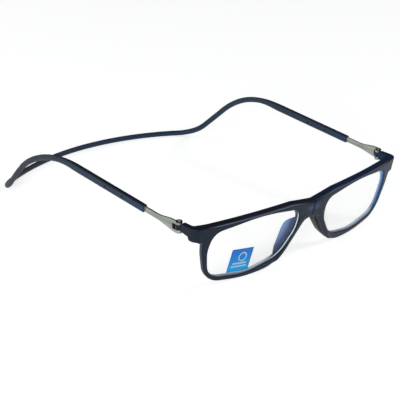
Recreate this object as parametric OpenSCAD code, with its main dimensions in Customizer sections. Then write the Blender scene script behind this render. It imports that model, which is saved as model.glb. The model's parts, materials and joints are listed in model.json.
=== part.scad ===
/* [Front] */
// Backward tilt of the lens plane, top edge forward
face_tilt = 9.3; // [4:0.1:14]
// Radius of the wrap of the front, seen from above
wrap_r = 332; // [220:1:600]
// Drop of the top edge from the brow to the split in the bridge
bridge_dip = 2.3; // [1.8:0.1:4]
// Height of the bridge at the split
bridge_h = 7.5; // [6:0.1:9]
// Depth of the rim, front to back
rim_depth = 2.4; // [2.3:0.1:2.6]
// Depth of the brow bar
brow_depth = 4; // [2.8:0.1:4.6]
// Width of the bevel along the top front edge
brow_bevel = 0.7; // [0.2:0.1:1]
// Width of the bevels on the other long edges
rim_bevel = 0.4; // [0.1:0.1:0.6]
// Gap between the two halves at the magnets
split_gap = 0.24; // [0.1:0.02:0.6]

/* [Lens opening] */
// Width of the view through one lens
lens_w = 52; // [46:0.1:54]
// Height of the view through one lens
lens_h = 28.7; // [26:0.1:30]
// Distance between the two lens openings
bridge_w = 19.2; // [18:0.1:22]
// Width of the rim under the lens
rim_low = 2; // [1.6:0.1:3]
// Width of the brow above the lens
brow_w = 1.5; // [0.9:0.1:2]
// Width of the rim beside the lens, outer side
rim_side = 2.5; // [2.2:0.1:4]
// Width of the rim beside the lens, nose side
rim_nose = 2; // [1.6:0.1:3]

/* [Lens] */
// Thickness of the lens
lens_t = 1.2; // [1:0.1:1.3]
// Depth of the lens behind the front face
lens_set = 0.55; // [0.5:0.05:0.65]
// Depth of the groove that holds the lens
groove = 0.5; // [0.3:0.05:0.8]
// Play of the lens in its groove
lens_play = 0.04; // [0.01:0.01:0.1]
// Side of the square film on the left lens
film_w = 12.4; // [6:0.1:16]
// Height of the film
film_h = 12; // [6:0.1:14]
// Thickness of the film
film_t = 0.1; // [0.06:0.02:0.2]
// Distance of the film's middle from the lens's outer edge
film_side = 19.8; // [14:0.1:30]
// Height of the film's middle above the lens's lower edge
film_rise = 7.7; // [7:0.1:12]
// Turn of the film, clockwise from the front
film_turn = 6.5; // [0:0.5:15]

/* [Nose pad] */
// How far the moulded pad reaches behind the rim
pad_reach = 5; // [3:0.1:6]
// Drop of the pad's back edge below its top
pad_drop = 1.4; // [0.8:0.1:4]
// How far the pad turns outwards for each millimetre that it reaches back
pad_toe = 0.12; // [0:0.02:0.3]
// Radius of the pad's rounded back edge
pad_r = 1.1; // [0.8:0.1:1.4]
// Height of the pad on the nose side
pad_h = 15.2; // [12:0.1:15.6]

/* [End piece] */
// How far the end piece stands out past the rim
end_step = 5.8; // [5:0.1:8]
// Wall thickness of the end piece
end_wall = 2.6; // [2.2:0.1:3.2]
// Height of the end piece
end_h = 6.6; // [6:0.1:7]
// Rise of the end piece's lower edge from the front to the hinge
end_taper = 1; // [0:0.1:1.4]
// Height of the end piece's flat top above that of the brow
roof_rise = 0.2; // [0:0.05:0.5]
// Radius of the outer front corner
end_corner = 3.8; // [1:0.1:4]

/* [Magnet] */
// Diameter of the magnet
magnet_d = 2.4; // [1.8:0.1:2.6]
// Length of the magnet
magnet_l = 4.6; // [3:0.1:6]
// Play of the magnet in its pocket
magnet_play = 0.02; // [0.01:0.01:0.1]

/* [Hinge] */
// Distance of the hinge axis behind the front
hinge_back = 13.3; // [12:0.1:15]
// How far the knuckles stand out past the end piece
knuckle_out = 0.8; // [0.4:0.05:1]
// Radius of the hinge knuckles
knuckle_r = 1.5; // [1.4:0.05:1.8]
// Height of the plastic knuckle, which sets the window
knuckle_h = 2.6; // [2.2:0.1:3]
// Height of the lower steel knuckle
low_knuckle_h = 1.4; // [1.2:0.1:1.8]
// Height of the upper steel knuckle
top_knuckle_h = 1.5; // [1.4:0.1:2]
// Drop of the hinge's lower end below the top of the end piece
hinge_drop = 5; // [4.6:0.1:5.4]
// Gap between one knuckle and the next
knuckle_gap = 0.08; // [0.04:0.01:0.2]
// Gap between a knuckle and the end piece it turns past
swing_gap = 0.2; // [0.15:0.01:0.4]
// Depth of the window behind the hinge axis
window_back = 2.8; // [2.4:0.1:4]
// Radius of the screw's shank
screw_r = 0.5; // [0.4:0.05:0.6]
// Radius of the screw's head
head_r = 1; // [0.8:0.05:1.1]
// Height of the screw's head
head_h = 0.6; // [0.4:0.05:0.8]
// Wall of the bush
bush_wall = 0.3; // [0.2:0.05:0.35]
// Running clearance of the screw in the bush
run_fit = 0.05; // [0.02:0.01:0.1]
// Seating clearance of pressed pieces
seat_fit = 0.01; // [0.01:0.01:0.04]

/* [Arm] */
// Thickness of the steel arm
arm_t = 1; // [0.8:0.1:1.4]
// Height of the bar that runs in the sleeve
bar_h = 2.4; // [2:0.1:2.6]
// Length of the flared plate behind the hinge axis
flare_l = 11.5; // [10:0.5:15]
// Length of the bar inside the sleeve
bar_in = 42; // [38:0.5:43]
// Length of the slot that the stop pins run in
bar_slot = 29.4; // [28:0.2:31]
// Distance from the sleeve's mouth to the slot
slot_start = 10.4; // [9:0.2:11]

/* [Headband] */
// Distance of the sleeve's mouth behind the hinge axis
mouth_back = 21.1; // [20:0.1:26]
// Height of the sleeve's mouth above the hinge's lower end
mouth_rise = 4; // [3.4:0.1:4.6]
// Rise of the sleeve towards the back
sleeve_rise = 4.3; // [3:0.1:6]
// Length of the straight sleeve
sleeve_l = 48.6; // [46:0.1:54]
// Width of the sleeve
sleeve_w = 2.6; // [2.4:0.1:3.4]
// Height of the sleeve
sleeve_h = 3.6; // [3.6:0.1:4.6]
// Bevel of the sleeve's long edges
sleeve_bevel = 0.5; // [0.3:0.05:0.6]
// Width of the band round the neck
band_w = 2.4; // [2:0.1:3.4]
// Height of the band round the neck
band_h = 3; // [2.6:0.1:4]
// Radius of the downward bend behind the ears
bend_r = 51; // [40:1:60]
// Slope of the band down to the neck
drop_angle = 44.4; // [38:0.2:46]
// Radius where the band levels out
heel_r = 26; // [15:1:34]
// Outward splay behind the sleeve
splay = 2.9; // [0.5:0.1:4]
// Length over which the splay begins
splay_l = 10; // [6:1:14]
// Length of the straight run behind the splay
side_l = 18.3; // [12:0.1:26]
// Radius of the first inward curve
side_r = 90; // [70:5:140]
// Angle of the first inward curve
side_turn = 17; // [10:0.1:22]
// Radius of the back corner
corner_r = 20; // [12:0.5:26]
// Angle of the back corner
corner_turn = 45.2; // [38:0.1:52]

/* [Stop pins] */
// Diameter of a stop pin
pin_d = 1; // [0.8:0.05:1.1]
// Distance from the sleeve's mouth to the first pin
pin_first = 14.2; // [13:0.1:16]
// Distance between the two pins
pin_pitch = 12.2; // [10:0.1:13]
// Depth of a pin's ends below the sleeve's sides
pin_sink = 0.1; // [0:0.05:0.3]
// Clearance of the bar in the sleeve, each side
slide_fit = 0.08; // [0.04:0.01:0.1]

/* [Hidden] */
fine = 48;

navy = "#1c2742";
slate = "#2b3a5c";
steel = "#a4a69a";
bright = "#c8c8c4";
clear = "#dce6f0";
film_blue = "#1f7ed0";

// Lens plane: x sideways, y depth behind the bridge, z up the plane from the lower rim
open_in = bridge_w / 2;
open_out = open_in + lens_w;
open_mid = (open_in + open_out) / 2;
open_top = rim_low + lens_h;
front_h = open_top + brow_w;
bridge_top = front_h - bridge_dip;
arch_h = bridge_top - bridge_h;
end_out = open_out + rim_side + end_step;
end_in = end_out - end_wall;
end_top = front_h - 0.5;
end_low = end_top - end_h;
end_roof = front_h + roof_rise;
seam = split_gap / 2;

function wrap(x) = x * x / (2 * wrap_r);

// Each half is cut out square to the wrapped face at the middle of its lens
lens_turn = asin(open_mid / wrap_r);
function square_on(points) =
  [for (p = points) [p.x * cos(lens_turn) + wrap(p.x) * sin(lens_turn), p.y]];

// Outline of the view through the lens: x, height, corner radius
lens_corners = [
  [open_in + 8.6, rim_low + 3.6, 15],
  [open_mid + 2, rim_low - 0.5, 35],
  [open_out - 2.7, rim_low + 2.4, 9.4],
  [open_out + 0.4, rim_low + 17.2, 16],
  [open_out - 2.1, open_top - 2.7, 8],
  [open_mid - 2.9, open_top + 0.8, 82],
  [open_in - 0.1, open_top - 2.6, 5.3],
  [open_in + 0.1, open_top - 12.6, 12]
];

// Outline of one half of the front, without its end piece
half_corners = [
  [-1.5, arch_h, 0],
  [open_in - 2.6 - rim_nose, arch_h - 1.7, 4.4],
  [open_in + 10.3 - rim_nose, rim_low - 0.1, 12],
  [open_mid + 1.8, -0.7, 74],
  [open_out + rim_side - 4.2, 2.5, 13],
  [open_out + rim_side + 0.2, end_low - 6, 40],
  [open_out + rim_side + 1, end_low, 1.5],
  [end_in - 0.4, end_low, 0],
  [end_in - 0.4, end_top, 0],
  [open_mid - 6, front_h, 100],
  [open_in + 5.2, front_h - 0.1, 12],
  [-1.5, bridge_top - 0.3, 0]
];

// Unit vector from a to b
function dir(a, b) = (b - a) / norm(b - a);

// Points of the arc that rounds corner b between a and c
function arc_at(a, b, c, r) =
  let (u = dir(b, a))
  let (v = dir(b, c))
  let (half = acos(u * v) / 2)
  let (reach = min(r / tan(half), norm(a - b) * 0.48, norm(c - b) * 0.48))
  let (rr = reach * tan(half))
  let (centre = b + dir([0, 0], u + v) * rr / sin(half))
  let (from = b + u * reach - centre)
  let (turn = sign(u.x * v.y - u.y * v.x) * -(180 - 2 * half))
  let (steps = max(2, ceil(abs(turn) / 8)))
  [for (i = [0 : steps])
    let (t = turn * i / steps)
    centre + [from.x * cos(t) - from.y * sin(t), from.x * sin(t) + from.y * cos(t)]];

// Outline with every corner rounded by its own radius
function rounded(c) =
  [for (i = [0 : len(c) - 1])
    let (n = len(c))
    let (a = [c[(i + n - 1) % n].x, c[(i + n - 1) % n].y])
    let (b = [c[i].x, c[i].y])
    let (d = [c[(i + 1) % n].x, c[(i + 1) % n].y])
    each (c[i][2] > 0 ? arc_at(a, b, d, c[i][2]) : [b])];

// The same corners moved outwards by g
function grown(c, g) =
  [for (i = [0 : len(c) - 1])
    let (n = len(c))
    let (a = [c[(i + n - 1) % n].x, c[(i + n - 1) % n].y])
    let (b = [c[i].x, c[i].y])
    let (d = [c[(i + 1) % n].x, c[(i + 1) % n].y])
    let (u = dir(a, b))
    let (v = dir(b, d))
    let (k = g / (1 + u * v))
    [b.x + (u.y + v.y) * k, b.y - (u.x + v.x) * k, c[i][2] + g]];

// Hinge and sleeve places, before the whole is centred on its footprint
pivot_x = end_out + knuckle_out - knuckle_r;
arm_out = pivot_x + knuckle_r;
arm_x = arm_out - arm_t / 2;
pivot_y = hinge_back;
hinge_low = end_roof - hinge_drop;
low_gap_z = hinge_low + low_knuckle_h;
top_gap_z = low_gap_z + knuckle_h;
hinge_top = top_gap_z + top_knuckle_h;
mouth_y = pivot_y + mouth_back;
mouth_z = hinge_low + mouth_rise;
bush_r = screw_r + run_fit + bush_wall;
sleeve_in = bar_in + 5;

// Rise of the lens plane that sets the lower rim on the floor
rim_lift = -min([for (p = rounded(half_corners))
  p.y * cos(face_tilt) + (wrap(p.x) + max(0, rim_bevel - p.y)) * sin(face_tilt)]);

// Plan of the headband: position, heading and length along it, from the mouth to the nape
function arc_steps(p, r, turn, n) =
  [for (i = [1 : n])
    let (h = p[2] + turn * i / n)
    [p.x - r * (cos(p[2]) - cos(h)), p.y + r * (sin(h) - sin(p[2])), h, p[3] + r * turn * PI / 180 * i / n]];
function run_steps(p, l, n) =
  [for (i = [1 : n])
    [p.x - sin(p[2]) * l * i / n, p.y + cos(p[2]) * l * i / n, p[2], p[3] + l * i / n]];
function last(v) = v[len(v) - 1];

mouth = [arm_x, mouth_y, 0, 0];
sleeve_end = run_steps(mouth, sleeve_l, 1);
splayed = arc_steps(last(sleeve_end), -splay_l / (splay * PI / 180), -splay, 3);
straight = run_steps(last(splayed), side_l, 4);
side_bend = arc_steps(last(straight), side_r, side_turn + splay, 8);
corner = arc_steps(last(side_bend), corner_r, corner_turn, 9);
nape_r = last(corner).x / cos(last(corner)[2]);
nape = arc_steps(last(corner), nape_r, 90 - last(corner)[2], 9);
half_plan = concat([mouth], sleeve_end, splayed, straight, side_bend, corner, nape);
nape_y = last(nape).y;

// Side profile of the headband over its own length
rise_l = sleeve_l * cos(sleeve_rise) + 4;
bend_x = rise_l + bend_r * sin(sleeve_rise);
bend_z = mouth_z + rise_l * tan(sleeve_rise) - bend_r * cos(sleeve_rise);
drop_x = bend_x + bend_r * sin(drop_angle);
drop_z = bend_z + bend_r * cos(drop_angle);
level_z = band_h / 2;
foot_x = drop_x + (drop_z - level_z) / tan(drop_angle);
heel_end = foot_x + heel_r * tan(drop_angle / 2);
heel_start = heel_end - heel_r * sin(drop_angle);
function band_z(w) =
  w < rise_l ? mouth_z + w * tan(sleeve_rise)
  : w < drop_x ? bend_z + sqrt(bend_r * bend_r - (w - bend_x) * (w - bend_x))
  : w < heel_start ? drop_z - (w - drop_x) * tan(drop_angle)
  : w < heel_end ? level_z + heel_r - sqrt(heel_r * heel_r - (w - heel_end) * (w - heel_end))
  : level_z;
function pitch(w) =
  w < rise_l ? sleeve_rise
  : w < drop_x ? -asin((w - bend_x) / bend_r)
  : w < heel_start ? -drop_angle
  : w < heel_end ? asin((w - heel_end) / heel_r)
  : 0;

// Footprint of the whole, which is centred on the origin
front_reach = max([for (x = [seam : 1 : open_mid]) top_edge(x) * sin(face_tilt) - wrap(x) * cos(face_tilt)]);
mid_y = (nape_y + band_w / 2 - front_reach) / 2;
function top_edge(x) = min(bridge_top + (x - seam) * 0.19, front_h - brow_bevel);

module centred() {
  translate([0, -mid_y, 0]) children();
}

module side(s) {
  if (s < 0) mirror([1, 0, 0]) children();
  else children();
}

// Lens plane, tilted into place
module face_plane() {
  translate([0, 0, rim_lift]) rotate([face_tilt, 0, 0]) children();
}

// Plate of a given outline, square to the middle of the lens
module through(points, depth) {
  rotate([0, 0, lens_turn]) translate([0, depth, 0]) rotate([90, 0, 0])
    linear_extrude(2 * depth) polygon(square_on(points));
}

// Curved layer between two depths behind the wrapped front face
module layer(near, far, low, high) {
  translate([0, wrap_r, low]) difference() {
    cylinder(r = wrap_r - near, h = high - low, $fn = 720);
    translate([0, 0, -1]) cylinder(r = wrap_r - far, h = high - low + 2, $fn = 720);
  }
}

// Front section swept round the wrap axis: bevelled edges, deeper at the brow
module front_section() {
  taper_low = arch_h - 1.4;
  taper_high = open_top - 2;
  translate([0, wrap_r, 0]) rotate_extrude($fn = 720) polygon([
    [wrap_r - rim_bevel, -1],
    [wrap_r - rim_bevel, 0],
    [wrap_r, rim_bevel],
    [wrap_r, front_h - brow_bevel],
    [wrap_r - brow_bevel, front_h],
    [wrap_r - brow_depth + rim_bevel, front_h],
    [wrap_r - brow_depth, front_h - rim_bevel],
    [wrap_r - brow_depth, taper_high],
    [wrap_r - rim_depth, taper_low],
    [wrap_r - rim_depth, rim_bevel],
    [wrap_r - rim_depth + rim_bevel, 0],
    [wrap_r - rim_depth + rim_bevel, -1]
  ]);
}

// Wall that turns back from the front to the hinge
module end_piece() {
  start = open_out + rim_side;
  back = pivot_y + 6;
  plan = rounded([
    [start - 1, wrap(start - 1) + 0.3, 0],
    [end_out, wrap(end_out), end_corner],
    [end_out, back, 0],
    [end_in, back, 0],
    [end_in, wrap(end_in) + brow_depth + 1, 2],
    [start - 1, wrap(start - 1) + brow_depth - 0.4, 0]
  ]);
  profile = [
    [-brow_depth, end_low],
    [wrap(end_in) + brow_depth, end_low],
    [pivot_y - knuckle_r, end_low + end_taper],
    [back, end_low + end_taper],
    [back, end_top],
    [-brow_depth, end_top]
  ];
  intersection() {
    translate([0, 0, end_low]) linear_extrude(end_h) polygon(plan);
    rotate([90, 0, 90]) linear_extrude(end_out + 1) polygon(profile);
  }
}

// Saddle pad moulded on the nose side, behind the rim
module nose_pad() {
  top_s = arch_h - 1.6;
  low_s = top_s - pad_h;
  top_x = open_in - 1.6;
  low_x = open_in + 7.2;
  // places on its back edge: share of the pad's height below its top, then share of its reach
  back_edge = [[pad_drop / pad_h, 0.7], [0.42, 1], [0.9, 0.55]];
  hull() {
    pad_ball(top_x, rim_depth - pad_r, top_s);
    pad_ball(low_x, rim_depth - pad_r, low_s);
    for (b = back_edge)
      pad_ball(
        top_x + (low_x - top_x) * b[0] + pad_toe * pad_reach * b[1],
        rim_depth + pad_reach * b[1] - pad_r,
        top_s - pad_h * b[0]
      );
  }
}

module pad_ball(x, y, z) {
  translate([x, y, z]) sphere(pad_r, $fn = 24);
}

module front_half() {
  depth = 8;
  reach = hinge_back + 9;
  difference() {
    union() {
      face_plane() {
        intersection() {
          through(rounded(half_corners), depth + 8);
          front_section();
        }
        end_piece();
        nose_pad();
      }
      translate([pivot_x, pivot_y, low_gap_z + knuckle_gap])
        cylinder(r = knuckle_r, h = knuckle_h - 2 * knuckle_gap, $fn = fine);
      translate([pivot_x - knuckle_r, pivot_y - knuckle_r - swing_gap - 1, low_gap_z + knuckle_gap])
        cube([knuckle_r + end_out - pivot_x, knuckle_r + swing_gap + 1, knuckle_h - 2 * knuckle_gap]);
    }
    translate([seam - reach, -reach, -1]) cube([reach, 2 * reach, front_h + 9]);
    translate([-1, -reach, end_roof]) cube([end_out + 9, 2 * reach, 9]);
    face_plane() {
      through(rounded(lens_corners), depth);
      intersection() {
        through(rounded(grown(lens_corners, groove)), depth);
        layer(lens_set - lens_play, lens_set + lens_t + lens_play, -1, front_h + 1);
      }
      translate([seam, magnet_depth(), magnet_s()])
        rotate([0, 90, 0])
          cylinder(d = magnet_d + 2 * magnet_play, h = magnet_l + 0.1, $fn = fine);
    }
    translate([pivot_x, pivot_y, low_gap_z - 1])
      cylinder(r = bush_r + seat_fit, h = knuckle_h + 2, $fn = fine);
    hinge_clearance(hinge_low - 3, low_gap_z + knuckle_gap);
    hinge_clearance(top_gap_z - knuckle_gap, hinge_top + 3);
    translate([pivot_x - 10, pivot_y + knuckle_r + 0.01, hinge_low - 3]) cube([20, 20, 16]);
    translate([pivot_x - 10, pivot_y - knuckle_r - swing_gap, low_gap_z - 1])
      cube([10 - knuckle_r, 20, knuckle_h + 2]);
    translate([end_out, pivot_y - knuckle_r - swing_gap, low_gap_z - 1]) cube([4, 20, knuckle_h + 2]);
  }
}

// Room above and below the plastic knuckle for the steel ones
module hinge_clearance(low, high) {
  translate([pivot_x - 10, pivot_y - knuckle_r - swing_gap, low]) cube([20, 20, high - low]);
}

function magnet_depth() = (rim_depth + brow_depth) / 4 + 0.05;
function magnet_s() = (bridge_top + arch_h) / 2 + 0.2;

module lens_half() {
  face_plane() intersection() {
    through(rounded(grown(lens_corners, groove - lens_play)), 8);
    layer(lens_set, lens_set + lens_t, -1, front_h + 1);
  }
}

module magnet_half() {
  face_plane() translate([seam + 0.05, magnet_depth(), magnet_s()])
    rotate([0, 90, 0]) cylinder(d = magnet_d, h = magnet_l, $fn = fine);
}

module bush_half() {
  translate([pivot_x, pivot_y, low_gap_z + knuckle_gap]) difference() {
    cylinder(r = bush_r, h = knuckle_h - 2 * knuckle_gap, $fn = fine);
    translate([0, 0, -1]) cylinder(r = screw_r + run_fit, h = knuckle_h + 2, $fn = fine);
  }
}

module screw_half() {
  translate([pivot_x, pivot_y, 0]) difference() {
    union() {
      translate([0, 0, hinge_low + 0.1])
        cylinder(r = screw_r, h = hinge_top - hinge_low - 0.2, $fn = fine);
      translate([0, 0, hinge_top - 0.1 - head_h]) cylinder(r = head_r, h = head_h, $fn = fine);
    }
    translate([-head_r - 1, -0.15, hinge_top - 0.3]) cube([2 * head_r + 2, 0.3, 1]);
  }
}

// Height of the bar's middle at a distance behind the hinge axis
function bar_mid(d) = mouth_z + (d - mouth_back) * tan(sleeve_rise);

// Side view of the arm: flared plate at the hinge, slim bar behind it
module arm_half() {
  tail = mouth_back + bar_in * cos(sleeve_rise);
  half_bar = bar_h / 2 / cos(sleeve_rise);
  outline = rounded([
    [0, hinge_low, 0],
    [1.6, hinge_low, 5],
    [flare_l, bar_mid(flare_l) - half_bar, 12],
    [tail, bar_mid(tail) - half_bar, 0.5],
    [tail, bar_mid(tail) + half_bar, 0.5],
    [flare_l, bar_mid(flare_l) + half_bar, 16],
    [4.4, hinge_top, 8],
    [0, hinge_top, 0]
  ]);
  difference() {
    union() {
      translate([arm_out - arm_t, pivot_y, 0])
        rotate([90, 0, 90]) linear_extrude(arm_t) polygon(outline);
      translate([pivot_x, pivot_y, hinge_low]) cylinder(r = knuckle_r, h = hinge_top - hinge_low, $fn = fine);
    }
    translate([pivot_x - knuckle_r - 1, pivot_y - knuckle_r - 1, low_gap_z])
      cube([2 * knuckle_r + 4, knuckle_r + 1 + window_back, knuckle_h]);
    translate([pivot_x, pivot_y, hinge_low - 1])
      cylinder(r = screw_r + seat_fit, h = hinge_top - hinge_low + 2, $fn = fine);
    translate([pivot_x, pivot_y, hinge_top - 0.1 - head_h - seat_fit])
      cylinder(r = head_r + run_fit, h = head_h + 1, $fn = fine);
    bar_slot_cut();
  }
}

// Long hole in the bar that the stop pins run in
module bar_slot_cut() {
  reach = pin_d / 2 + run_fit;
  translate([arm_out - arm_t - 1, mouth_y, mouth_z]) rotate([sleeve_rise, 0, 0]) {
    translate([0, slot_start + reach, -reach]) cube([arm_t + 2, bar_slot - 2 * reach, 2 * reach]);
    for (y = [slot_start + reach, slot_start + bar_slot - reach])
      translate([0, y, 0]) rotate([0, 90, 0]) cylinder(r = reach, h = arm_t + 2, $fn = fine);
  }
}

// Cross-section of the band: bevelled like the sleeve, then rounded
function section(w, h, r, soft) =
  [for (q = [0 : 3])
    for (i = [0 : 3])
      let (sx = q == 0 || q == 3 ? 1 : -1)
      let (sy = q < 2 ? 1 : -1)
      let (t = q % 2 == 0 ? i / 3 : 1 - i / 3)
      let (a = r * (soft * cos(90 * t) + (1 - soft) * (1 - t)))
      let (b = r * (soft * sin(90 * t) + (1 - soft) * t))
      [sx * (w / 2 - r + a), sy * (h / 2 - r + b)]];

module headband_sweep() {
  mirrored = [for (i = [len(half_plan) - 2 : -1 : 0])
    let (p = half_plan[i])
    [-p.x, p.y, 180 - p[2], p[3], -1]];
  stations = concat([for (p = half_plan) [p.x, p.y, p[2], p[3], 1]], mirrored);
  rings = [for (s = stations)
    let (blend = min(1, max(0, (s[3] - sleeve_l) / 14)))
    let (outline = section(sleeve_w + (band_w - sleeve_w) * blend,
                           sleeve_h + (band_h - sleeve_h) * blend,
                           sleeve_bevel + (band_w / 2 - 0.3 - sleeve_bevel) * blend, blend))
    let (p = pitch(s[3]) * s[4])
    let (out = [cos(s[2]), sin(s[2]), 0])
    let (up = [sin(s[2]) * sin(p), -cos(s[2]) * sin(p), cos(p)])
    [for (q = outline) [s.x, s.y, band_z(s[3])] + out * q.x + up * q.y]];
  n = len(section(1, 1, 0.2, 1));
  m = len(rings);
  walls = [for (j = [0 : m - 2])
    for (i = [0 : n - 1])
      let (a = j * n + i)
      let (b = j * n + (i + 1) % n)
      each [[a, b, b + n], [a, b + n, a + n]]];
  caps = [[for (i = [n - 1 : -1 : 0]) i], [for (i = [0 : n - 1]) (m - 1) * n + i]];
  polyhedron([for (r = rings) each r], concat(walls, caps), convexity = 6);
}

// One end of the sleeve: the channel for the bar and the two pin holes
module sleeve_cuts() {
  translate([arm_x, mouth_y, mouth_z]) rotate([sleeve_rise, 0, 0]) {
    translate([-arm_t / 2 - slide_fit, -1, -bar_h / 2 - slide_fit])
      cube([arm_t + 2 * slide_fit, sleeve_in + 1, bar_h + 2 * slide_fit]);
    for (y = [pin_first, pin_first + pin_pitch])
      translate([-sleeve_w, y, 0]) rotate([0, 90, 0])
        cylinder(d = pin_d + 2 * seat_fit, h = 2 * sleeve_w, $fn = fine);
  }
}

module stop_pin(along) {
  translate([arm_x, mouth_y, mouth_z]) rotate([sleeve_rise, 0, 0])
    translate([-sleeve_w / 2 + pin_sink, along, 0])
      rotate([0, 90, 0]) cylinder(d = pin_d, h = sleeve_w - 2 * pin_sink, $fn = fine);
}

module headband() {
  color(slate) centred() difference() {
    headband_sweep();
    for (s = [-1, 1]) side(s) sleeve_cuts();
  }
}

module stop_pin_left_front() { color("black") centred() side(-1) stop_pin(pin_first); }
module stop_pin_left_rear() { color("black") centred() side(-1) stop_pin(pin_first + pin_pitch); }
module stop_pin_right_front() { color("black") centred() side(1) stop_pin(pin_first); }
module stop_pin_right_rear() { color("black") centred() side(1) stop_pin(pin_first + pin_pitch); }

module arm_left() { color(steel) centred() side(-1) arm_half(); }
module arm_right() { color(steel) centred() side(1) arm_half(); }

module hinge_screw_left() { color(bright) centred() side(-1) screw_half(); }
module hinge_screw_right() { color(bright) centred() side(1) screw_half(); }

module hinge_bush_left() { color(bright) centred() side(-1) bush_half(); }
module hinge_bush_right() { color(bright) centred() side(1) bush_half(); }

module front_left() { color(navy) centred() side(-1) front_half(); }
module front_right() { color(navy) centred() side(1) front_half(); }

module lens_left() { color(clear, 0.3) centred() side(-1) lens_half(); }
module lens_right() { color(clear, 0.3) centred() side(1) lens_half(); }

module magnet_left() { color(bright) centred() side(-1) magnet_half(); }
module magnet_right() { color(bright) centred() side(1) magnet_half(); }

// Thin square film stuck to the front of the left lens, low on the outer side
module lens_film() {
  gap = 0.02;
  color(film_blue) centred() face_plane() intersection() {
    translate([film_side - open_out, 0, rim_low + film_rise]) rotate([0, film_turn, 0])
      translate([-film_w / 2, -1, -film_h / 2]) cube([film_w, 8, film_h]);
    layer(lens_set - gap - film_t, lens_set - gap, 0, front_h);
  }
}

headband();
stop_pin_left_front();
stop_pin_left_rear();
stop_pin_right_front();
stop_pin_right_rear();
arm_left();
arm_right();
hinge_screw_left();
hinge_screw_right();
hinge_bush_left();
hinge_bush_right();
front_left();
front_right();
lens_left();
lens_right();
magnet_left();
magnet_right();
lens_film();
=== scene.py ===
import json
from math import acos, asin, cos, degrees, hypot, pi, prod, radians, sin, sqrt, tan

import bmesh
import bpy
import numpy as np
from numpy.linalg import norm
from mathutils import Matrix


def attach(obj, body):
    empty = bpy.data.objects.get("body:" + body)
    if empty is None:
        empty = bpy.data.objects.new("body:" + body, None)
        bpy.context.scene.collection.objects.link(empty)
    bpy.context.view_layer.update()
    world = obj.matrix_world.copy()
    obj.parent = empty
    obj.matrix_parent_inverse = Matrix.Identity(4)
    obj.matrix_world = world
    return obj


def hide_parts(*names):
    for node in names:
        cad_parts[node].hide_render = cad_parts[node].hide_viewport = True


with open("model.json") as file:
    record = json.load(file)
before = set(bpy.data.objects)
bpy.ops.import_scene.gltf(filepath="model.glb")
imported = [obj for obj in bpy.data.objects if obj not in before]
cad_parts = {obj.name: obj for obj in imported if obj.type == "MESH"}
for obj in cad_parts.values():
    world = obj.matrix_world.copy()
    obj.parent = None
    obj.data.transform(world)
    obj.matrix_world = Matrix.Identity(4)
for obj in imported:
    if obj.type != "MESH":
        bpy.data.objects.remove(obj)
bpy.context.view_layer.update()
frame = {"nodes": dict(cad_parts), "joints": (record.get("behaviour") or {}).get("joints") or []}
mm = 0.001
sides = ("left", -1), ("right", 1)


# the shared frame is centred on the footprint, the sizes below count from the bridge

hingeBack = 13.3  # mm from the face to the hinge axis
hingeAt = next(j["pos_m"] for j in frame["joints"] if j["name"] == "front_hinge_right")
midY = hingeBack - hingeAt[1] / mm


# camera, seen from the front left

view = {
    "azimuth": -45.01,  # degrees
    "elevation": 23.96,
    "roll": 2.77,
    "distance": 554.85,  # mm from the point looked at
    "target": (-18.47, 52.02, 15),
    "lens": 102.46,
    "sensor": 36,
    "clip": (0.01, 20),  # metres
}


def added(name, data):
    thing = bpy.data.objects.new(name, data)
    bpy.context.collection.objects.link(thing)
    return thing


# stands an object at a place in metres, its back turned that way, rolled from upright
def stand(thing, back, place, roll=0):
    right = np.cross([0, 0, 1], back)
    right /= norm(right)
    up = np.cross(back, right)
    matrix = np.eye(4)
    matrix[:3, 0] = cos(roll) * right + sin(roll) * up
    matrix[:3, 1] = cos(roll) * up - sin(roll) * right
    matrix[:3, 2], matrix[:3, 3] = back, place
    thing.matrix_world = [tuple(row) for row in matrix.T]


def placeCamera():
    turn, rise, roll = (radians(view[k]) for k in ("azimuth", "elevation", "roll"))
    back = np.array([sin(turn) * cos(rise), -cos(turn) * cos(rise), sin(rise)])
    eye = added("camera", bpy.data.cameras.new("camera"))
    eye.data.lens = view["lens"]
    eye.data.sensor_width = view["sensor"]
    eye.data.clip_start, eye.data.clip_end = view["clip"]
    target = np.array(view["target"]) - (0, midY, 0)
    stand(eye, back, (target + back * view["distance"]) * mm, roll)
    bpy.context.scene.camera = eye


placeCamera()
bpy.context.scene.view_settings.view_transform = "Standard"
print("camera placed")


# meshes from whole arrays

# points in mm; faces as one array of corner numbers or several, turned to face out
def newPiece(name, points, faces, body, stands=(), smooth=True):
    points = np.asarray(points, np.float64) * mm
    groups = [np.asarray(f, np.int32) for f in (faces if isinstance(faces, list) else [faces])]
    if enclosed(points, groups) < 0:
        groups = [g[:, ::-1] for g in groups]
    mesh = bpy.data.meshes.new(name)
    mesh.vertices.add(len(points))
    mesh.vertices.foreach_set("co", points.ravel())
    corners = np.concatenate([g.ravel() for g in groups])
    sizes = np.concatenate([np.full(len(g), g.shape[1], np.int32) for g in groups])
    mesh.loops.add(len(corners))
    mesh.loops.foreach_set("vertex_index", corners)
    mesh.polygons.add(len(sizes))
    mesh.polygons.foreach_set("loop_start", np.append(0, np.cumsum(sizes)[:-1]).astype(np.int32))
    mesh.polygons.foreach_set("use_smooth", np.full(len(sizes), smooth))
    mesh.update(calc_edges=True)
    mesh.validate()
    return joined(added(name, mesh), body, stands)


def joined(piece, body, stands):
    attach(piece, body)
    if stands:
        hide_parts(*stands)
    return piece


# signed volume: every face a fan of tetrahedra from the origin, positive when faces point out
def enclosed(points, groups):
    total = 0
    for g in groups:
        a = points[g[:, 0]]
        for k in range(1, g.shape[1] - 1):
            total += np.einsum("ij,ij->", a, np.cross(points[g[:, k]], points[g[:, k + 1]]))
    return total


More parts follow.
